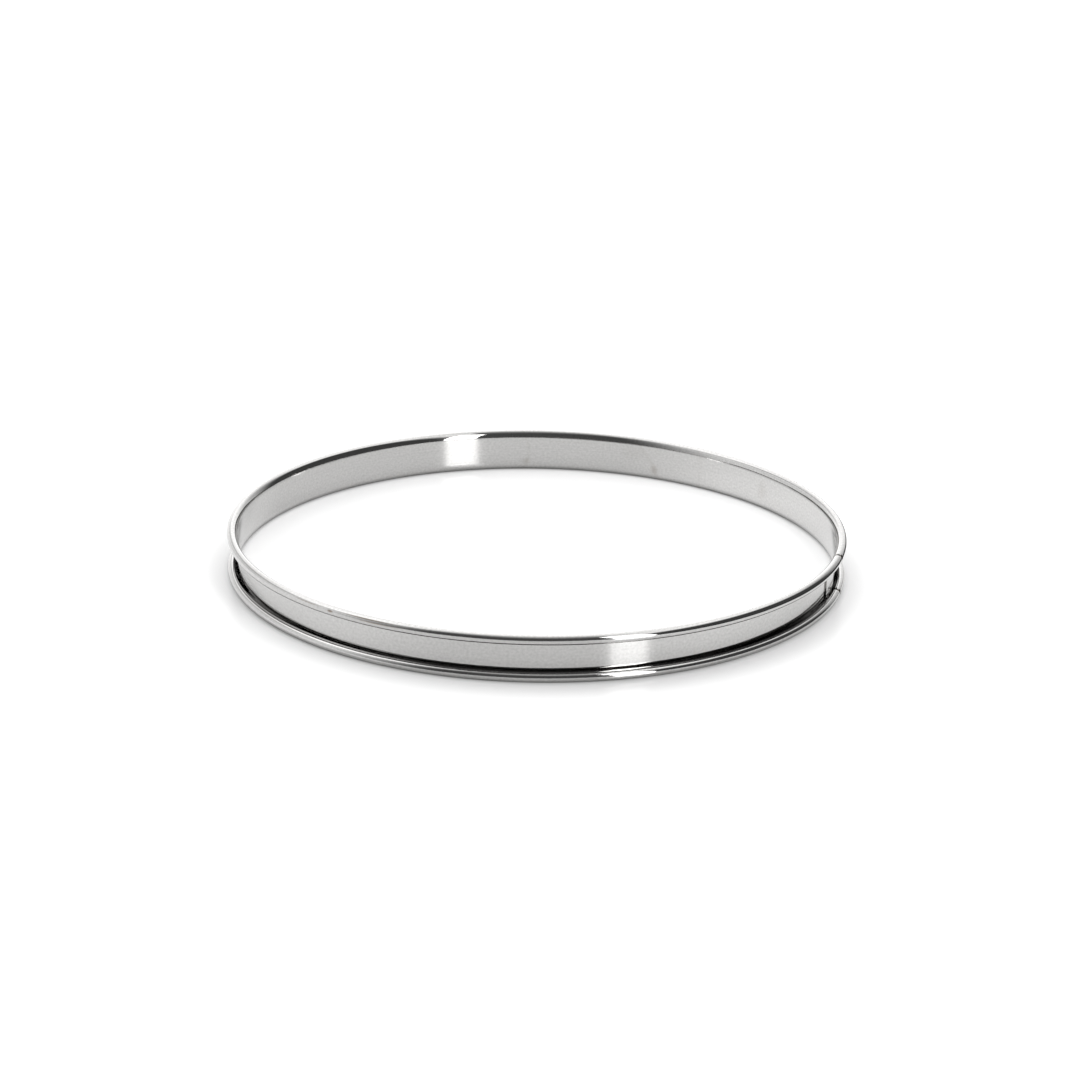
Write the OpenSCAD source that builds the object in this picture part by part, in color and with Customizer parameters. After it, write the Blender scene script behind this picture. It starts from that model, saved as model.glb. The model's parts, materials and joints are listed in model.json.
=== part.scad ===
// Tart ring with rolled edges: one strip of sheet, both edges curled outward, bent round and lapped at its ends.
// Frame: +Z up, origin on the ring's axis in the plane it rests on, -Y the side nearest the viewer.

/* [Ring] */
// Outer diameter, measured over the rolled edges
ring_d = 280; // [120:10:320]
// Height over both rolled edges
ring_h = 20.4; // [18:0.2:40]
// Thickness of the sheet
sheet_t = 0.5; // [0.3:0.1:0.6]

/* [Rolled edge] */
// Outside diameter of each rolled edge
curl_d = 4.2; // [3:0.1:5]
// Inner-side radius of the shoulder, where the wall leans out into the curl
shoulder_r = 5; // [3:0.1:6]
// Whole turn of the sheet, from the wall round to the cut edge of the curl
edge_turn = 285; // [250:5:330]

/* [Seam] */
// Direction of the butted curl ends round the axis, from +X towards +Y
seam_dir = -16; // [-180:0.5:180]
// Gap between the butted ends of the curls
butt_gap = 0.6; // [0.3:0.1:2]
// Length of the tab that laps over the outside of the other end
lap_len = 13; // [10:1:30]
// Room between the tab's long edges and the curls
tab_room = 0.2; // [0.1:0.1:2]
// Room between the tab and the wall under it
lap_room = 0.1; // [0.05:0.05:0.3]
// Length over which the wall steps out into the tab
step_len = 4; // [2:0.5:8]

/* [Spot welds] */
// Number of spot welds in the lap
weld_count = 2; // [1:1:3]
// Distance of the outermost spot welds from the tab's long edges
weld_margin = 1.6; // [1.5:0.1:3]
// Distance of the spot welds from the tab's cut end
weld_inset = 5; // [3:0.5:8]
// Diameter of a spot weld
weld_d = 1.6; // [1:0.1:2.5]
// Depth of the electrode's dimple in the tab
dimple_depth = 0.1; // [0.05:0.05:0.15]

/* [Hidden] */
round_fn = 72;
curl_fn = 24;

// The shoulder ends in the direction of a 3-4-5 triangle, which keeps both arcs on round numbers
shoulder_cos = 0.8;
shoulder_sin = 0.6;
shoulder_turn = acos(shoulder_cos);

curl_r = curl_d / 2;
curl_axis_r = ring_d / 2 - curl_r;
curl_axis_z = ring_h - curl_r;
// The shoulder's centre, from which its arc runs into the curl's without a break
shoulder_axis_r = curl_axis_r + (shoulder_r - curl_r) * shoulder_cos;
shoulder_axis_z = curl_axis_z - (shoulder_r - curl_r) * shoulder_sin;

wall_in_r = shoulder_axis_r - shoulder_r;
wall_out_r = wall_in_r + sheet_t;
wall_h = 2 * shoulder_axis_z - ring_h;

tab_in_r = wall_out_r + lap_room;
tab_out_r = tab_in_r + sheet_t;
tab_z = curl_d + tab_room;
tab_h = ring_h - 2 * tab_z;

// The welds spread evenly between the margins, and a single one sits half-way up
weld_pitch = (tab_h - 2 * weld_margin) / max(weld_count - 1, 1);

// Angle round the axis of a length along the wall
function arc_angle(len) = len / wall_out_r * 180 / PI;
butt_angle = arc_angle(butt_gap);
foot_angle = arc_angle(butt_gap + step_len);
lap_angle = arc_angle(lap_len);
weld_angle = arc_angle(lap_len - weld_inset);
step_slope = atan((sheet_t + lap_room) / step_len);
// Past its foot the step ends inside the wall's thickness
root_angle = foot_angle + arc_angle(step_len / 3);

function polar(r, a) = [r * cos(a), r * sin(a)];

// Wedge in the section, from the wall's side over the top in the direction that the sheet turns
module turn_wedge(from_turn, to_turn) {
    reach = 2 * shoulder_r;
    steps = ceil((to_turn - from_turn) / 60);
    rim = [for (i = [0:steps]) polar(reach, 180 - from_turn - i * (to_turn - from_turn) / steps)];
    polygon(concat([[0, 0]], rim));
}

// Sheet bent to a radius on its show side, between two turns
module bent_sheet(show_r, from_turn, to_turn) {
    intersection() {
        difference() {
            circle(r = show_r, $fn = curl_fn);
            circle(r = show_r - sheet_t, $fn = curl_fn);
        }
        turn_wedge(from_turn, to_turn);
    }
}

// Section of the upper rolled edge, in radius and height
module edge_section() {
    translate([shoulder_axis_r, shoulder_axis_z]) {
        bent_sheet(shoulder_r, 0, shoulder_turn);
        // Inside the sheet's thickness, so that wall, shoulder and curl stay one at any size
        for (turn = [0, shoulder_turn])
            translate(polar(shoulder_r - sheet_t / 2, 180 - turn)) circle(d = sheet_t / 2, $fn = curl_fn);
    }
    translate([curl_axis_r, curl_axis_z]) bent_sheet(curl_r, shoulder_turn, edge_turn);
}

// Section of the strip: the straight wall with a rolled edge above and below
module strip_section() {
    translate([wall_in_r, ring_h - shoulder_axis_z]) square([sheet_t, wall_h]);
    edge_section();
    translate([0, ring_h]) mirror([0, 1]) edge_section();
}

// The strip bent round, open between its butted ends
module bent_strip() {
    rotate(butt_angle) rotate_extrude(angle = 360 - butt_angle, $fn = round_fn) strip_section();
}

// Wedge in plan between two angles round the axis
module plan_wedge(from_angle, to_angle) {
    polygon([[0, 0], polar(ring_d, from_angle), polar(ring_d, to_angle)]);
}

// Plan inside a face of the tab, which the step's slope leads down to the same face of the wall
module inside_face(tab_face_r, wall_face_r) {
    intersection() {
        circle(r = tab_face_r, $fn = round_fn);
        translate(polar(wall_face_r, foot_angle)) rotate(foot_angle + step_slope)
            translate([-ring_d, -ring_d]) square([ring_d, 2 * ring_d]);
    }
}

// Plan of the tab and of the step at its root
module tab_plan() {
    intersection() {
        difference() {
            inside_face(tab_out_r, wall_out_r);
            inside_face(tab_in_r, wall_in_r);
            circle(r = wall_in_r, $fn = round_fn);
        }
        plan_wedge(-lap_angle, root_angle);
    }
}

// Plan of what the step leaves open on the wall's inner side
module step_recess_plan() {
    intersection() {
        inside_face(tab_in_r, wall_in_r);
        plan_wedge(butt_angle / 2, root_angle);
    }
}

module at_tab_height() {
    translate([0, 0, tab_z]) linear_extrude(tab_h) children();
}

// Places a child at each spot weld, looking out along the radius
module at_welds() {
    for (i = [0:weld_count - 1])
        rotate(-weld_angle) translate([0, 0, ring_h / 2 + (i - (weld_count - 1) / 2) * weld_pitch])
            rotate([0, 90, 0]) children();
}

module tart_ring() {
    color("silver") rotate(seam_dir) difference() {
        union() {
            difference() {
                bent_strip();
                at_tab_height() step_recess_plan();
            }
            at_tab_height() tab_plan();
            at_welds() translate([0, 0, wall_out_r - sheet_t / 2]) cylinder(d = weld_d, h = sheet_t + lap_room);
        }
        at_welds() translate([0, 0, tab_out_r - dimple_depth]) cylinder(d = weld_d, h = sheet_t);
    }
}

tart_ring();
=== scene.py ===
"""Tart ring with rolled edges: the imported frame, dressed in rolled steel and lit as in the photograph."""

import json
import math

import bpy
from mathutils import Matrix, Vector


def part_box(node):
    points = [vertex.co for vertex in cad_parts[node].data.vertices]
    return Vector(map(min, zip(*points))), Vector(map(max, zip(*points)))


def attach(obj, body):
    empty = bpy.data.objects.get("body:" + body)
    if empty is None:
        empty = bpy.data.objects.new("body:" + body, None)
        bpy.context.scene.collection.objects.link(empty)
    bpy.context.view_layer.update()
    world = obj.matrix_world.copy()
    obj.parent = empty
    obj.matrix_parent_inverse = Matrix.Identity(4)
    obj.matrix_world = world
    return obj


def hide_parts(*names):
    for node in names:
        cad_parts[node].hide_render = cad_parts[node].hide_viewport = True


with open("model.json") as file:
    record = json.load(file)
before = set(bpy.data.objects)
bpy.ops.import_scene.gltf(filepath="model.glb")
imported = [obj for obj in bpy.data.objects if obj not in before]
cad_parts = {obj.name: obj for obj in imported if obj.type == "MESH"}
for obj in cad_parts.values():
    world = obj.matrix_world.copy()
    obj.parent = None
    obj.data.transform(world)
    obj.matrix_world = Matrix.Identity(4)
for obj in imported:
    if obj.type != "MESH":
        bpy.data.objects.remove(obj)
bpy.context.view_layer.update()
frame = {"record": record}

# Sizes that the frame gives, in metres
NODE = "tart_ring"
ring_low, ring_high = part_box(NODE)
inner_wall = next(m for m in frame["record"]["mounts"] if m["name"] == "inner_wall")
RING_R = min(-ring_low.x, ring_high.x, -ring_low.y, ring_high.y)
RING_H = ring_high.z - ring_low.z
WALL_IN_R = inner_wall["dims"]["r_mm"] / 1000
WALL_LEN = inner_wall["dims"]["length_mm"] / 1000

# The sheet and its rolled edge, as the part has them
SHEET = 0.0005
CURL_R = 0.0021
SHOULDER_R = 0.005
SHOULDER_COS = 0.8
SHOULDER_SIN = 0.6
SHOULDER_TURN = math.acos(SHOULDER_COS)
CURL_END_TURN = math.radians(285)
SHOULDER_AXIS_R = WALL_IN_R + SHOULDER_R
SHOULDER_AXIS_Z = RING_H / 2 + WALL_LEN / 2
CURL_AXIS_R = SHOULDER_AXIS_R - SHOULDER_COS * (SHOULDER_R - CURL_R)
CURL_AXIS_Z = SHOULDER_AXIS_Z + SHOULDER_SIN * (SHOULDER_R - CURL_R)
# Scales the mesh in plan, so that it stays inside the part's box
FIT = RING_R / (CURL_AXIS_R + CURL_R)

# The seam
SEAM_DIR = math.radians(-16)
BUTT_GAP = 0.0006
LAP_LEN = 0.013
STEP_LEN = 0.004
LAP_ROOM = 0.0001
TAB_ROOM = 0.0002
TAB_LOW = 2 * CURL_R + TAB_ROOM
TAB_HIGH = RING_H - TAB_LOW
WELD_INSET = 0.005
WELD_MARGIN = 0.0016
WELD_R = 0.0008
WELD_HEIGHTS = (TAB_LOW + WELD_MARGIN, TAB_HIGH - WELD_MARGIN)
# At the gap the rolled edges close towards their middle: over what length, and by what share at the very end
END_CLOSING_LEN = 0.0012
END_CLOSING = 0.3

# Length across the strip, from the lower cut edge round to the foot of the straight wall
WALL_FOOT = CURL_R * (CURL_END_TURN - SHOULDER_TURN) + SHOULDER_R * SHOULDER_TURN

# Steps of the mesh across the strip and along it, with finer ones over a last length before the gap
SHOULDER_STEPS = 5
CURL_STEPS = 30
WALL_STEPS = 4
TAB_STEPS = 20
RISE_STEPS = 14
ROUND_STEPS = 470
LAST_STEPS = 10
LAST_LEN = 0.003
SHARP_FROM = math.radians(50)
# Room for rounding, in comparing places and in telling whether a point is on a rolled edge
CLOSE = 1e-9
CLOSE_TO_CURL = 1e-6


def smooth(x):
    """Smooth step from 0 to 1 as x goes from 0 to 1."""
    x = min(max(x, 0.0), 1.0)
    return x * x * (3 - 2 * x)


def arc_rows(axis_r, axis_z, radius, turns):
    """Samples of an arc of the upper edge, at turns from the inner wall's side over the top."""
    rows = []
    for turn in turns:
        n = (-math.cos(turn), math.sin(turn))
        rows.append((axis_r + radius * n[0], axis_z + radius * n[1], *n))
    return rows


def section_rows():
    """Samples of the sheet's show face, from the lower cut edge over the inner wall to the upper one.

    Each is (radius, height, normal's radial part, normal's upright part, length along the strip's width)."""
    shoulder_turns = [SHOULDER_TURN * i / SHOULDER_STEPS for i in range(SHOULDER_STEPS + 1)]
    rolled = CURL_END_TURN - SHOULDER_TURN
    curl_turns = [SHOULDER_TURN + rolled * i / CURL_STEPS for i in range(1, CURL_STEPS + 1)]
    upper = arc_rows(SHOULDER_AXIS_R, SHOULDER_AXIS_Z, SHOULDER_R, shoulder_turns)
    upper += arc_rows(CURL_AXIS_R, CURL_AXIS_Z, CURL_R, curl_turns)
    lower = [(r, RING_H - z, nr, -nz) for r, z, nr, nz in reversed(upper)]
    wall_stops = [i / WALL_STEPS for i in range(WALL_STEPS + 1)]
    wall = [(WALL_IN_R, TAB_LOW + (TAB_HIGH - TAB_LOW) * s, -1.0, 0.0) for s in wall_stops]
    rows = lower + wall + upper
    out = []
    length = 0.0
    for i, row in enumerate(rows):
        if i:
            length += math.dist(row[:2], rows[i - 1][:2])
        out.append((*row, length))
    return out


def column_angles():
    """Angles round the axis from the seam's gap, with the tab's first, where the strip is only its tab."""
    butt = BUTT_GAP / WALL_IN_R
    lap = LAP_LEN / WALL_IN_R
    foot = butt + STEP_LEN / WALL_IN_R
    end = 2 * math.pi
    last = end - LAST_LEN / WALL_IN_R
    stretches = [
        (-lap, 0.0, TAB_STEPS),
        (0.0, butt, 1),
        (butt, foot, RISE_STEPS),
        (foot, last, ROUND_STEPS),
        (last, end, LAST_STEPS),
    ]
    angles = [-lap]
    for start, stop, steps in stretches:
        angles += [start + (stop - start) * i / steps for i in range(1, steps + 1)]
    return angles, butt, foot


def strip_point(row, angle, butt, foot, back, in_tab):
    """A point of the show face or of the back, and its place on the flat strip."""
    r, z, nr, nz, across = row
    if back:
        r -= SHEET * nr
        z -= SHEET * nz
    if in_tab:
        r += (SHEET + LAP_ROOM) * (1 - smooth((angle - butt) / (foot - butt)))
    from_end = min(abs(angle - butt), abs(2 * math.pi - angle)) * WALL_IN_R
    if nr != -1.0 and from_end < END_CLOSING_LEN and angle >= butt - CLOSE:
        centre_z = CURL_AXIS_Z if z > RING_H / 2 else RING_H - CURL_AXIS_Z
        if math.hypot(r - CURL_AXIS_R, z - centre_z) < CURL_R + CLOSE_TO_CURL:
            pull = END_CLOSING * (1 - from_end / END_CLOSING_LEN) ** 2
            r += (CURL_AXIS_R - r) * pull
            z += (centre_z - z) * pull
    turned = angle + SEAM_DIR
    point = (FIT * r * math.cos(turned), FIT * r * math.sin(turned), ring_low.z + z)
    return point, (angle * WALL_IN_R, across)


def strip_mesh(name):
    """The whole strip as one closed sheet: both faces, the cut edges, and the tab stepped out at the lap."""
    rows = section_rows()
    angles, butt, foot = column_angles()
    in_tab = [TAB_LOW - CLOSE <= row[1] <= TAB_HIGH + CLOSE and row[2] == -1.0 for row in rows]
    verts = []
    uvs = []
    index = {}

    def corner(i, j, back):
        """Number of a corner's vertex, which is made when it is first asked for."""
        key = (i, j, back)
        if key not in index:
            point, flat = strip_point(rows[j], angles[i], butt, foot, back, in_tab[j])
            index[key] = len(verts)
            verts.append(point)
            uvs.append(flat)
        return index[key]

    def present(i, j):
        """Whether the strip has sheet in this cell of the grid."""
        if not (0 <= i < len(angles) - 1 and 0 <= j < len(rows) - 1):
            return False
        return angles[i] >= butt - CLOSE or (in_tab[j] and in_tab[j + 1])

    faces = []
    for i in range(len(angles) - 1):
        for j in range(len(rows) - 1):
            if not present(i, j):
                continue
            ring = [(i, j), (i + 1, j), (i + 1, j + 1), (i, j + 1)]
            faces.append([corner(*p, 0) for p in reversed(ring)])
            faces.append([corner(*p, 1) for p in ring])
            for side, (di, dj) in enumerate(((0, -1), (1, 0), (0, 1), (-1, 0))):
                if not present(i + di, j + dj):
                    p = ring[side]
                    q = ring[(side + 1) % 4]
                    faces.append([corner(*p, 0), corner(*q, 0), corner(*q, 1), corner(*p, 1)])
    mesh = bpy.data.meshes.new(name)
    mesh.from_pydata(verts, [], faces)
    layer = mesh.uv_layers.new(name="strip")
    for loop in mesh.loops:
        layer.data[loop.index].uv = uvs[loop.vertex_index]
    mesh.validate()
    mesh.shade_smooth()
    mesh.set_sharp_from_angle(angle=SHARP_FROM)
    return mesh


def add(tree, kind, inputs=None, **settings):
    """Adds a node, sets its properties, and links or sets its inputs."""
    made = tree.nodes.new(kind)
    for key, value in settings.items():
        setattr(made, key, value)
    for key, value in (inputs or {}).items():
        if isinstance(value, bpy.types.NodeSocket):
            tree.links.new(value, made.inputs[key])
        else:
            made.inputs[key].default_value = value
    return made


def maths(tree, operation, a, b=0.0):
    """The result of one operation on one or two values."""
    return add(tree, "ShaderNodeMath", {0: a, 1: b}, operation=operation).outputs[0]


def plus_share(tree, total, value, share):
    """A total with a share of a value added to it."""
    return maths(tree, "ADD", total, maths(tree, "MULTIPLY", value, share))


def squares(tree, x, y):
    """The sum of two values' squares."""
    return maths(tree, "ADD", maths(tree, "POWER", x, 2.0), maths(tree, "POWER", y, 2.0))


def ramp_up(tree, value, low, high):
    """0 below low and 1 above high, smooth between."""
    inputs = {"Value": value, "From Min": low, "From Max": high}
    made = add(tree, "ShaderNodeMapRange", inputs, interpolation_type="SMOOTHSTEP")
    return made.outputs["Result"]


def blend(tree, factor, a, b):
    """a where the factor is 0 and b where it is 1."""
    return add(tree, "ShaderNodeMix", {"Factor": factor, "A": a, "B": b}).outputs["Result"]


def between(tree, value, low, high, soft):
    """1 between low and high, with soft edges."""
    up = ramp_up(tree, value, low - soft, low + soft)
    down = ramp_up(tree, value, high + soft, high - soft)
    return maths(tree, "MULTIPLY", up, down)


STEEL_COLOUR = (0.56, 0.555, 0.548, 1.0)
STAIN_COLOUR = (0.20, 0.15, 0.11, 1.0)
# The most that marks and tint together mix in of the stain's colour
STAIN_MOST = 0.8
# How far reflections are drawn out, and in what direction, as a share of a full turn from the strip's length
ANISOTROPY = 0.8
ANISOTROPY_TURN = 0.25

# Features of each noise per metre along the strip and across it
GRAIN = (300.0, 6000.0)
LINES = (9.0, 1000.0)
SPECKLE = (850.0, 950.0)
STREAKS = (14.0, 1700.0)
PATCHES = (45.0, 160.0)
# The roughness, and what the grain and the patches add to it
ROUGH_BASE = 0.025
ROUGH_BY_GRAIN = 0.02
ROUGH_BY_PATCHES = 0.04
# What the colour is multiplied by: its base, what the noises add, and what is taken off on the rolled edges
TONE_BASE = 0.77
TONE_BY_SPECKLE = 0.42
TONE_BY_PATCHES = 0.05
TONE_BY_STREAKS = 0.45
TONE_ON_EDGES = -0.22
# Share of that left inside the rolled edges, a shade painted into the hollow, and how far under their show
# face this begins and is whole
HOLLOW_PAINTED_SHADE = 0.5
HOLLOW_PAINTED_SHADE_FROM = (0.0001, 0.0003)
# The grain's share of its bump, and the depths of all three bumps in metres
GRAIN_STRENGTH = 0.1
GRAIN_DEPTH = 0.00002
LINES_DEPTH = 0.00003
DIMPLE_DEPTH = 0.0001

# Heat tint: its strength, and the distances from the cut end, from the butted ends and past the straight
# wall's edge at which it begins and is whole
CUT_END_TINT = 0.15
CUT_END_FROM = (0.0012, 0.0002)
BUTT_TINT = 0.6
BUTT_FROM = (0.0007, 0.0001)
BUTT_PAST_WALL = (0.0005, 0.0015)
WELD_TINT = 0.45
# Radius of the tint round a spot weld, and of the electrode's mark
WELD_TINT_R = 1.6 * WELD_R
WELD_MARK_R = 1.1 * WELD_R

# Share of a spot's half width within which it is whole
SPOT_WHOLE = 0.2
# Dried runs on the inner wall: place along the strip half-way up, lean, bow, half width and strength
WATER_RUNS = (
    (0.2550, 0.00, 0.0012, 0.0016, 0.06),
    (0.1922, 0.65, 0.0010, 0.0020, 0.07),
    (0.1638, 0.05, 0.0004, 0.0030, 0.03),
)
# Stains there: place along the strip, height, half width, half height and strength
STAINS = (
    (0.2563, 0.0050, 0.0035, 0.0026, 0.16),
    (0.1896, 0.0054, 0.0030, 0.0040, 0.22),
    (0.1230, 0.0095, 0.0045, 0.0060, 0.10),
    (0.2010, 0.0125, 0.0090, 0.0050, 0.06),
)
# A nick and scratches on the upper rolled edge: place along the strip, height as it runs on round the sheet,
# half length, half width and strength
NICKS = (
    (0.5873, 0.0245, 0.0020, 0.0007, 0.90),
    (0.6060, 0.0236, 0.0170, 0.0004, 0.70),
    (0.6100, 0.0247, 0.0140, 0.0004, 0.60),
    (0.5740, 0.0240, 0.0100, 0.0003, 0.50),
)


def noise(tree, at, scale, detail=3.0):
    """Noise over the strip, with its own count of features per metre along and across."""
    spread = add(tree, "ShaderNodeMapping", {"Vector": at, "Scale": (*scale, 1.0)}).outputs["Vector"]
    return add(tree, "ShaderNodeTexNoise", {"Vector": spread, "Scale": 1.0, "Detail": detail}).outputs["Fac"]


def spot(tree, along, height, at, at_height, half_width, half_height):
    """1 in the middle of an oval spot on the strip, 0 at its edge."""
    x = maths(tree, "DIVIDE", maths(tree, "SUBTRACT", along, at), half_width)
    y = maths(tree, "DIVIDE", maths(tree, "SUBTRACT", height, at_height), half_height)
    return ramp_up(tree, maths(tree, "SQRT", squares(tree, x, y)), 1.0, SPOT_WHOLE)


def from_middle(tree, height):
    """Distance from half-way up the ring, above or below."""
    return maths(tree, "ABSOLUTE", maths(tree, "SUBTRACT", height, RING_H / 2))


def wall_marks(tree, along, height):
    """Dried runs and stains on the inner wall and nicks on the upper edge, as a darkening."""
    rise = maths(tree, "SUBTRACT", height, RING_H / 2)
    bent = maths(tree, "POWER", maths(tree, "DIVIDE", rise, WALL_LEN / 2), 2.0)
    total = 0.0
    for at, lean, bow, half_width, strength in WATER_RUNS:
        middle = plus_share(tree, maths(tree, "MULTIPLY", rise, lean), bent, bow)
        off = maths(tree, "ABSOLUTE", maths(tree, "SUBTRACT", maths(tree, "SUBTRACT", along, at), middle))
        total = plus_share(tree, total, ramp_up(tree, off, half_width, 0.0), strength)
    for at, at_height, half_width, half_height, strength in STAINS + NICKS:
        mark = spot(tree, along, height, at, at_height, half_width, half_height)
        total = plus_share(tree, total, mark, strength)
    return total


def seam_tint(tree, along, height):
    """Heat tint along the tab's cut end, at the butted ends and round the spot welds."""
    end = ramp_up(tree, along, CUT_END_FROM[0] - LAP_LEN, CUT_END_FROM[1] - LAP_LEN)
    tint = maths(tree, "MULTIPLY", end, CUT_END_TINT)
    to_root = maths(tree, "ABSOLUTE", maths(tree, "SUBTRACT", along, BUTT_GAP))
    to_end = maths(tree, "ABSOLUTE", maths(tree, "SUBTRACT", along, 2 * math.pi * WALL_IN_R))
    butt = ramp_up(tree, maths(tree, "MINIMUM", to_root, to_end), *BUTT_FROM)
    limits = [WALL_LEN / 2 + past for past in BUTT_PAST_WALL]
    butt = maths(tree, "MULTIPLY", butt, ramp_up(tree, from_middle(tree, height), *limits))
    tint = plus_share(tree, tint, butt, BUTT_TINT)
    for at_height in WELD_HEIGHTS:
        weld = spot(tree, along, height, WELD_INSET - LAP_LEN, at_height, WELD_TINT_R, WELD_TINT_R)
        tint = plus_share(tree, tint, weld, WELD_TINT)
    return tint


def weld_dimples(tree, along, height):
    """Depth of the electrode's marks, 1 inside each."""
    depth = 0.0
    for at_height in WELD_HEIGHTS:
        mark = spot(tree, along, height, WELD_INSET - LAP_LEN, at_height, WELD_MARK_R, WELD_MARK_R)
        depth = maths(tree, "ADD", depth, mark)
    return depth


def inside_curls(tree):
    """1 on the faces inside the hollow edges and on their cut edges, whose colour is darkened there as
    painted shade.
    """
    place = add(tree, "ShaderNodeNewGeometry").outputs["Position"]
    parts = add(tree, "ShaderNodeSeparateXYZ", {"Vector": place}).outputs
    radius = maths(tree, "POWER", squares(tree, parts["X"], parts["Y"]), 0.5)
    across = maths(tree, "SUBTRACT", radius, CURL_AXIS_R)
    up = maths(tree, "SUBTRACT", from_middle(tree, parts["Z"]), CURL_AXIS_Z - RING_H / 2)
    away = maths(tree, "POWER", squares(tree, across, up), 0.5)
    return ramp_up(tree, away, CURL_R - HOLLOW_PAINTED_SHADE_FROM[0], CURL_R - HOLLOW_PAINTED_SHADE_FROM[1])


def steel_tone(tree, uv, patch, height):
    """What the steel's colour is multiplied by: speckled, streaked and darker on the rolled edges, with
    painted shade inside them.
    """
    speckle = noise(tree, uv, SPECKLE)
    streaks = noise(tree, uv, STREAKS, detail=2.0)
    on_edge = ramp_up(tree, from_middle(tree, height), WALL_LEN / 2, WALL_LEN / 2 + SHOULDER_R)
    tone = plus_share(tree, maths(tree, "MULTIPLY", speckle, TONE_BY_SPECKLE), patch, TONE_BY_PATCHES)
    tone = plus_share(tree, tone, maths(tree, "MULTIPLY", streaks, on_edge), TONE_BY_STREAKS)
    tone = plus_share(tree, tone, on_edge, TONE_ON_EDGES)
    tone = maths(tree, "ADD", tone, TONE_BASE)
    # Painted shade inside the hollow edges
    return maths(tree, "MULTIPLY", tone, blend(tree, inside_curls(tree), 1.0, HOLLOW_PAINTED_SHADE))


def steel_bump(tree, uv, grain, along, height):
    """The steel's normal, with its grain, its drawn lines and the welds' dimples."""
    inputs = {"Height": grain, "Strength": GRAIN_STRENGTH, "Distance": GRAIN_DEPTH}
    bump = add(tree, "ShaderNodeBump", inputs).outputs["Normal"]
    lines = noise(tree, uv, LINES, detail=2.0)
    inputs = {"Height": lines, "Strength": 1.0, "Distance": LINES_DEPTH, "Normal": bump}
    bump = add(tree, "ShaderNodeBump", inputs).outputs["Normal"]
    dimples = maths(tree, "MULTIPLY", weld_dimples(tree, along, height), -1.0)
    inputs = {"Height": dimples, "Strength": 1.0, "Distance": DIMPLE_DEPTH, "Normal": bump}
    return add(tree, "ShaderNodeBump", inputs).outputs["Normal"]


def steel_material():
    """Bright rolled stainless sheet: speckled, drawn in fine lines along the strip, and marked by use."""
    made = bpy.data.materials.new("stainless_sheet")
    made.use_nodes = True
    tree = made.node_tree
    tree.nodes.clear()
    uv = add(tree, "ShaderNodeUVMap", uv_map="strip").outputs["UV"]
    parts = add(tree, "ShaderNodeSeparateXYZ", {"Vector": uv}).outputs
    along = parts["X"]
    height = maths(tree, "ADD", parts["Y"], (RING_H - WALL_LEN) / 2 - WALL_FOOT)
    grain = noise(tree, uv, GRAIN)
    patch = noise(tree, uv, PATCHES, detail=4.0)
    rough = plus_share(tree, maths(tree, "MULTIPLY", grain, ROUGH_BY_GRAIN), patch, ROUGH_BY_PATCHES)
    rough = maths(tree, "ADD", rough, ROUGH_BASE)
    dark = maths(tree, "ADD", wall_marks(tree, along, height), seam_tint(tree, along, height))
    dark = maths(tree, "MINIMUM", dark, STAIN_MOST)
    inputs = {"Factor": dark, "A": STEEL_COLOUR, "B": STAIN_COLOUR}
    colour = add(tree, "ShaderNodeMix", inputs, data_type="RGBA").outputs["Result"]
    inputs = {0: colour, "Scale": steel_tone(tree, uv, patch, height)}
    toned = add(tree, "ShaderNodeVectorMath", inputs, operation="SCALE").outputs["Vector"]
    tangent = add(tree, "ShaderNodeTangent", direction_type="UV_MAP", uv_map="strip").outputs["Tangent"]
    shader = add(tree, "ShaderNodeBsdfPrincipled", {
        "Base Color": toned,
        "Metallic": 1.0,
        "Roughness": rough,
        "Anisotropic": ANISOTROPY,
        "Anisotropic Rotation": ANISOTROPY_TURN,
        "Normal": steel_bump(tree, uv, grain, along, height),
        "Tangent": tangent,
    })
    add(tree, "ShaderNodeOutputMaterial", {"Surface": shader.outputs["BSDF"]})
    return made


FLOOR_HALF = 4.0
FLOOR_WHITE = 0.85
FLOOR_ROUGHNESS = 0.2
# The floor's lift for the eye, near the ring and away from it; the smaller lift near the ring paints a shadow
# there
FLOOR_TO_EYE = (0.23, 0.41)
# Its lift for the metal outside the ring and inside, and the painted light added to both sides and to the
# right, which only the metal's reflections show
FLOOR_TO_METAL_OUTSIDE = 0.18
FLOOR_TO_METAL_INSIDE = 0.28
METAL_PAINTED_LIGHT_SIDES = 0.08
METAL_PAINTED_LIGHT_RIGHT = 0.12
# How far from the middle these begin and are whole
SIDES_FROM = (0.03, 0.10)
RIGHT_FROM = (0.02, 0.12)
# How far from the ring the lift begins and is whole, so that the missing lift beside the ring paints a
# shadow; below zero is under the ring
EYE_OUTSIDE = (-0.001, 0.022)
EYE_INSIDE = (-0.002, 0.002)
METAL_OUTSIDE = (-0.001, 0.008)
METAL_INSIDE = (-0.002, 0.003)
# The same for the shadow painted into the floor's colour under and beside the ring, and the share of that
# colour that is left there
PAINTED_SHADOW_OUTSIDE = (-0.001, 0.003)
PAINTED_SHADOW_INSIDE = (-0.004, 0.001)
PAINTED_CONTACT_SHADOW = 0.75
# The floor's gloss in the metal, where it carries the strip lamp's image, and to the eye
GLOSS_TO_METAL = 0.5
GLOSS_TO_EYE = 0.08
# On the right, past these distances, the metal sees the floor painted dark, though the floor goes on and is
# white to the eye
PAINTED_DARK_FROM = (0.156, 0.182)
PAINTED_DARK_LEVEL = 0.05


def clear_of_ring(tree, radius, outside, inside):
    """0 beside the ring and 1 away from it on either side, and then the same for its outside alone."""
    out = ramp_up(tree, radius, RING_R + outside[0], RING_R + outside[1])
    within = ramp_up(tree, radius, WALL_IN_R - inside[0], WALL_IN_R - inside[1])
    return maths(tree, "MAXIMUM", out, within), out


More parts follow.
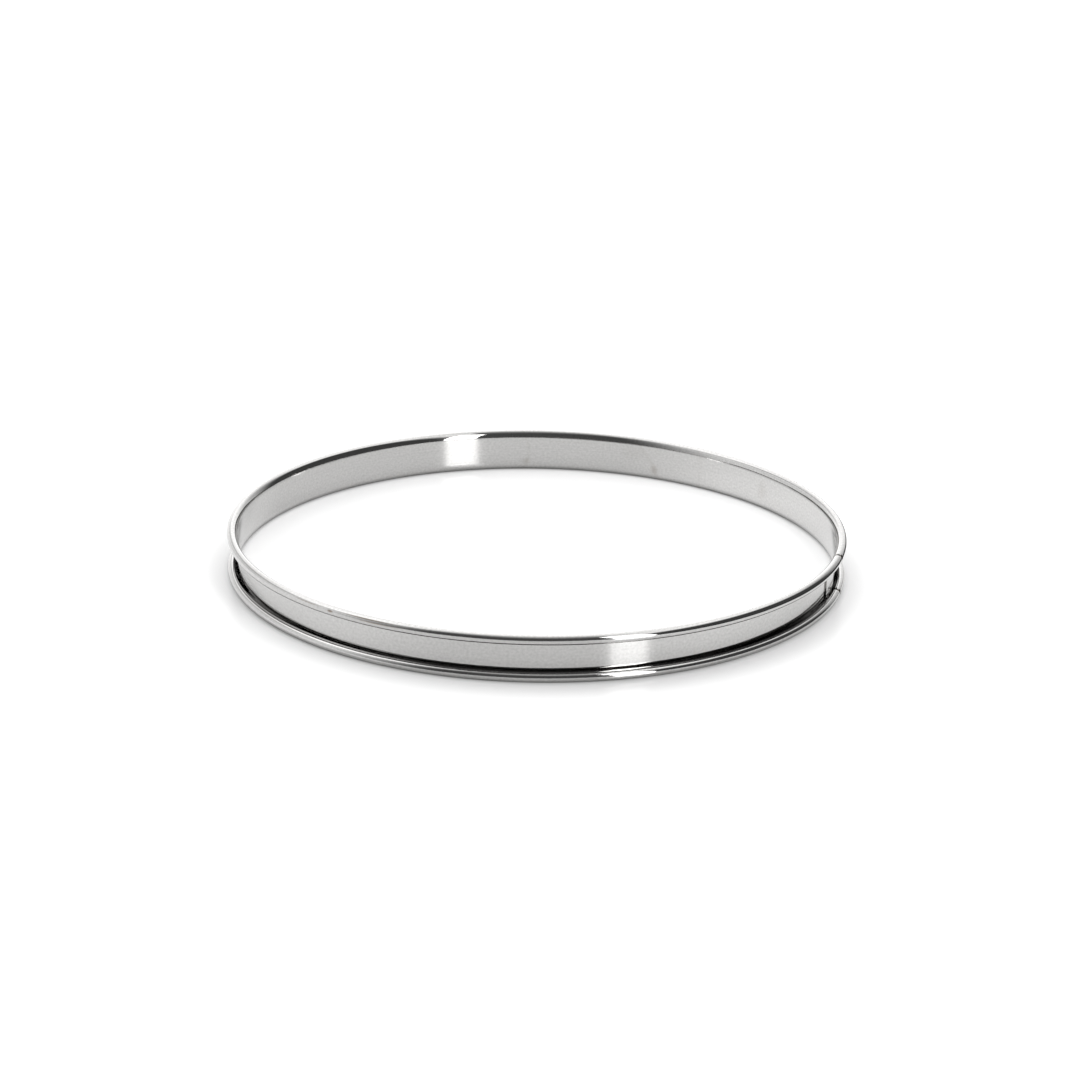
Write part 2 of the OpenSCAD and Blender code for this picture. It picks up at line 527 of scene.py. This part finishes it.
def lift_to_metal(tree, radius, x):
    """How far the floor is lifted where the metal mirrors it: painted light, more to the sides and the right,
    and none beside the ring, which paints a shadow there.
    """
    clear, outside = clear_of_ring(tree, radius, METAL_OUTSIDE, METAL_INSIDE)
    lift = blend(tree, outside, FLOOR_TO_METAL_INSIDE, FLOOR_TO_METAL_OUTSIDE)
    aside = ramp_up(tree, maths(tree, "ABSOLUTE", x), *SIDES_FROM)
    lift = plus_share(tree, lift, aside, METAL_PAINTED_LIGHT_SIDES)
    lift = plus_share(tree, lift, ramp_up(tree, x, *RIGHT_FROM), METAL_PAINTED_LIGHT_RIGHT)
    return maths(tree, "MULTIPLY", lift, clear)


def floor_material():
    """White table: lit and shadowed by the ring, and lifted a little for the eye and for the metal; a shadow
    is also painted beside the ring into its colour and its lifts, painted light is added to the sides and
    right for the metal, and the metal sees it painted dark on the right.
    """
    made = bpy.data.materials.new("white_floor")
    made.use_nodes = True
    tree = made.node_tree
    tree.nodes.clear()
    path = add(tree, "ShaderNodeLightPath").outputs
    to_camera = path["Is Camera Ray"]
    to_gloss = path["Is Glossy Ray"]
    place = add(tree, "ShaderNodeNewGeometry").outputs["Position"]
    x = add(tree, "ShaderNodeSeparateXYZ", {"Vector": place}).outputs["X"]
    radius = add(tree, "ShaderNodeVectorMath", {0: place}, operation="LENGTH").outputs["Value"]
    clear_of_painted_shadow, _ = clear_of_ring(tree, radius, PAINTED_SHADOW_OUTSIDE, PAINTED_SHADOW_INSIDE)
    # Painted shadow: the floor's colour is darkened beside the ring
    white = maths(tree, "MULTIPLY", blend(tree, clear_of_painted_shadow, PAINTED_CONTACT_SHADOW, 1.0), FLOOR_WHITE)
    gloss = blend(tree, to_camera, GLOSS_TO_METAL, GLOSS_TO_EYE)
    inputs = {"Base Color": white, "Roughness": FLOOR_ROUGHNESS, "Specular IOR Level": gloss}
    paint = add(tree, "ShaderNodeBsdfPrincipled", inputs).outputs["BSDF"]
    # Painted shadow: less lift for the eye beside the ring
    clear, _ = clear_of_ring(tree, radius, EYE_OUTSIDE, EYE_INSIDE)
    to_eye = maths(tree, "MULTIPLY", to_camera, blend(tree, clear, *FLOOR_TO_EYE))
    # Painted light and painted shadow in what the metal mirrors of the floor
    to_metal = maths(tree, "MULTIPLY", to_gloss, lift_to_metal(tree, radius, x))
    both = maths(tree, "ADD", to_eye, to_metal)
    lift = add(tree, "ShaderNodeEmission", {"Strength": both}).outputs["Emission"]
    sheet = add(tree, "ShaderNodeAddShader", {0: paint, 1: lift}).outputs["Shader"]
    # Painted reflection: on the right the metal mirrors the floor as dark
    painted_dark_share = maths(tree, "MULTIPLY", ramp_up(tree, x, *PAINTED_DARK_FROM), to_gloss)
    dark = add(tree, "ShaderNodeEmission", {"Strength": PAINTED_DARK_LEVEL}).outputs["Emission"]
    surface = add(tree, "ShaderNodeMixShader", {0: painted_dark_share, 1: sheet, 2: dark}).outputs["Shader"]
    add(tree, "ShaderNodeOutputMaterial", {"Surface": surface})
    return made


def make_floor():
    """The white table that the ring stands on."""
    half = FLOOR_HALF
    mesh = bpy.data.meshes.new("floor")
    corners = [(-half, -half, 0.0), (half, -half, 0.0), (half, half, 0.0), (-half, half, 0.0)]
    mesh.from_pydata(corners, [], [(0, 1, 2, 3)])
    mesh.materials.append(floor_material())
    floor = bpy.data.objects.new("floor", mesh)
    bpy.context.scene.collection.objects.link(floor)


# The studio: sides are in degrees round the axis, from the viewer's side towards the right, and heights in
# degrees above the floor. Two levels hold before and after a smooth change; other pairs are where a thing
# begins and ends.
LEFT_LEVELS = (1.0, 1.7)
RIGHT_LEVELS = (0.6, 1.4)
SIDES_MEET = (-20.0, 20.0)
RISE_AT = (24.0, 46.0)
BACK_LEVEL = 1.6
BACK_FROM = (135.0, 178.0)
TOP_LEVEL = 0.85
TOP_FROM = (60.0, 84.0)
# To the eye the room is plain white
ROOM_TO_EYE = 1.0
# A darker rim on the left wall, which sinks towards the back
RIM_SIDE = (-165.0, -72.0)
RIM_HEIGHT = 42.0
RIM_SLOPE = 0.28
RIM_HALF = 2.5
RIM_SOFT = 4.0
RIM_SHARE = 0.45
# The dark corner on the right: its middle, half width and height, the power that rounds it, and its soft edge
DARK_AT = 83.0
DARK_SIZE = (51.0, 52.0)
DARK_POWER = 3.0
DARK_LEVEL = 0.07
DARK_EDGE = (1.15, 0.8)
# The dark viewer's side, whose left border leans away as it rises
VIEWER_LEVELS = (0.09, 0.95)
VIEWER_RISE = (40.0, 110.0)
VIEWER_LEFT = (-88.0, -34.0)
VIEWER_LEFT_LEAN = 20.0
VIEWER_LEAN_RISE = (20.0, 50.0)
# The strip lamp stands on the floor to the right of the viewer: its side, its distance, width and length in
# metres, and its level, where white is 1
LAMP_SIDE = 33.0
LAMP_AWAY = 1.2
LAMP_SIZE = (0.29, 1.3)
LAMP_LEVEL = 5.5
# The window light above the lamp leans to the right, by 22 degrees at 40 degrees above where its lean starts
ABOVE_SIDE = (26.0, 41.0)
ABOVE_SOFT = 2.0
ABOVE_LEAN_FROM = 30.0
ABOVE_LEAN = 22.0 / 40.0 ** 2
ABOVE_LEVEL = 1.35
ABOVE_BOTTOM = (40.0, 50.0)
ABOVE_TOP = (66.0, 78.0)


def left_rim(tree, side, height):
    """1 on the darker rim of the left wall."""
    sink = maths(tree, "MULTIPLY", maths(tree, "ADD", side, -RIM_SIDE[1]), RIM_SLOPE)
    from_rim = maths(tree, "SUBTRACT", height, maths(tree, "ADD", sink, RIM_HEIGHT))
    along = between(tree, side, *RIM_SIDE, RIM_SOFT)
    return maths(tree, "MULTIPLY", along, between(tree, from_rim, -RIM_HALF, RIM_HALF, RIM_SOFT))


def dark_corner(tree, side, height):
    """1 in the dark corner on the right, within its rounded outline."""
    beside = maths(tree, "ABSOLUTE", maths(tree, "SUBTRACT", side, DARK_AT))
    across = maths(tree, "POWER", maths(tree, "DIVIDE", beside, DARK_SIZE[0]), DARK_POWER)
    above = maths(tree, "POWER", maths(tree, "DIVIDE", height, DARK_SIZE[1]), DARK_POWER)
    away = maths(tree, "POWER", maths(tree, "ADD", across, above), 1 / DARK_POWER)
    return ramp_up(tree, away, *DARK_EDGE)


def studio_room(tree, side, height):
    """The room's light without what stands on the viewer's side: pale walls, brighter above and behind."""
    rise = ramp_up(tree, height, *RISE_AT)
    left = blend(tree, rise, *LEFT_LEVELS)
    right = blend(tree, rise, *RIGHT_LEVELS)
    level = blend(tree, ramp_up(tree, side, *SIDES_MEET), left, right)
    level = blend(tree, ramp_up(tree, maths(tree, "ABSOLUTE", side), *BACK_FROM), level, BACK_LEVEL)
    level = maths(tree, "MULTIPLY", level, blend(tree, left_rim(tree, side, height), 1.0, RIM_SHARE))
    level = blend(tree, dark_corner(tree, side, height), level, DARK_LEVEL)
    return blend(tree, ramp_up(tree, height, *TOP_FROM), level, TOP_LEVEL)


def studio_window(tree, side, height):
    """The bright strip above the lamp, which leans to the right: its outline and its upright side."""
    lean = maths(tree, "MAXIMUM", maths(tree, "SUBTRACT", height, ABOVE_LEAN_FROM), 0.0)
    lean = maths(tree, "MULTIPLY", maths(tree, "POWER", lean, 2.0), ABOVE_LEAN)
    upright = maths(tree, "SUBTRACT", side, lean)
    outline = between(tree, upright, *ABOVE_SIDE, ABOVE_SOFT)
    outline = maths(tree, "MULTIPLY", outline, ramp_up(tree, height, *ABOVE_BOTTOM))
    outline = maths(tree, "MULTIPLY", outline, ramp_up(tree, height, ABOVE_TOP[1], ABOVE_TOP[0]))
    return outline, upright


def viewer_side(tree, side, height, upright):
    """1 on the dark viewer's side, from its leaning left border to the window's right one."""
    lean = maths(tree, "MULTIPLY", ramp_up(tree, height, *VIEWER_LEAN_RISE), VIEWER_LEFT_LEAN)
    left = maths(tree, "SUBTRACT", VIEWER_LEFT[0], lean)
    from_left = ramp_up(tree, side, left, VIEWER_LEFT[1])
    to_window = ramp_up(tree, upright, ABOVE_SIDE[1], ABOVE_SIDE[0])
    return maths(tree, "MULTIPLY", from_left, to_window)


def make_studio():
    """A bright room with a dark viewer's side, a dark corner on the right and a window light between."""
    world = bpy.data.worlds.new("studio")
    bpy.context.scene.world = world
    world.use_nodes = True
    tree = world.node_tree
    tree.nodes.clear()
    direction = add(tree, "ShaderNodeTexCoord").outputs["Generated"]
    parts = add(tree, "ShaderNodeSeparateXYZ", {"Vector": direction}).outputs
    ahead = maths(tree, "MULTIPLY", parts["Y"], -1.0)
    side = maths(tree, "MULTIPLY", maths(tree, "ARCTAN2", parts["X"], ahead), 180 / math.pi)
    height = maths(tree, "MULTIPLY", maths(tree, "ARCSINE", parts["Z"]), 180 / math.pi)
    height = maths(tree, "MAXIMUM", height, 0.0)
    level = studio_room(tree, side, height)
    window, upright = studio_window(tree, side, height)
    viewer = blend(tree, ramp_up(tree, height, *VIEWER_RISE), *VIEWER_LEVELS)
    level = blend(tree, viewer_side(tree, side, height, upright), level, viewer)
    level = blend(tree, window, level, ABOVE_LEVEL)
    seen = add(tree, "ShaderNodeLightPath").outputs["Is Camera Ray"]
    inputs = {"Color": (1.0, 1.0, 1.0, 1.0), "Strength": blend(tree, seen, level, ROOM_TO_EYE)}
    background = add(tree, "ShaderNodeBackground", inputs)
    add(tree, "ShaderNodeOutputWorld", {"Surface": background.outputs["Background"]})


def make_lamp():
    """The upright strip lamp, with its foot on the floor and its face to the ring."""
    width, length = LAMP_SIZE
    data = bpy.data.lights.new("strip_lamp", "AREA")
    data.shape = "RECTANGLE"
    data.size = width
    data.size_y = length
    data.energy = LAMP_LEVEL * math.pi * width * length
    lamp = bpy.data.objects.new("strip_lamp", data)
    turn = math.radians(LAMP_SIDE)
    foot = LAMP_AWAY * Vector((math.sin(turn), -math.cos(turn), 0.0))
    middle = foot + Vector((0.0, 0.0, length / 2))
    facing = foot.to_track_quat("Z", "Y").to_matrix().to_4x4()
    lamp.matrix_world = Matrix.Translation(middle) @ facing
    lamp.visible_camera = False
    bpy.context.scene.collection.objects.link(lamp)


# The camera, as fitted to the ring's outlines in the photograph
CAMERA_AWAY = 1.1
CAMERA_RISE = math.radians(20.473)
CAMERA_PAN = math.radians(0.078)
CAMERA_TILT = math.radians(0.54)
CAMERA_ROLL = math.radians(1.005)
CLIP_START = 0.05
LENS = 80.2


def make_camera():
    """The camera, turned by its pan, tilt and roll from where it would face the frame's origin."""
    place = CAMERA_AWAY * Vector((0.0, -math.cos(CAMERA_RISE), math.sin(CAMERA_RISE)))
    ahead = -place.normalized()
    right = Vector((1.0, 0.0, 0.0))
    up = right.cross(ahead)
    panned = ahead * math.cos(CAMERA_PAN) + right * math.sin(CAMERA_PAN)
    ahead = panned * math.cos(CAMERA_TILT) + up * math.sin(CAMERA_TILT)
    ahead.normalize()
    right = ahead.cross(Vector((0.0, 0.0, 1.0))).normalized()
    up = right.cross(ahead)
    across = right * math.cos(CAMERA_ROLL) + up * math.sin(CAMERA_ROLL)
    above = up * math.cos(CAMERA_ROLL) - right * math.sin(CAMERA_ROLL)
    turn = Matrix((across, above, -ahead)).transposed()
    data = bpy.data.cameras.new("camera")
    data.lens = LENS
    data.clip_start = CLIP_START
    camera = bpy.data.objects.new("camera", data)
    camera.matrix_world = Matrix.Translation(place) @ turn.to_4x4()
    bpy.context.scene.collection.objects.link(camera)
    bpy.context.scene.camera = camera


def make_ring():
    """The dressed strip, which stands for the part's one solid."""
    mesh = strip_mesh("rolled_strip")
    mesh.materials.append(steel_material())
    ring = bpy.data.objects.new("rolled_strip", mesh)
    bpy.context.scene.collection.objects.link(ring)
    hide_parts(NODE)
    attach(ring, "root")


bpy.context.scene.view_settings.view_transform = "Standard"
make_camera()
make_ring()
make_floor()
make_studio()
make_lamp()
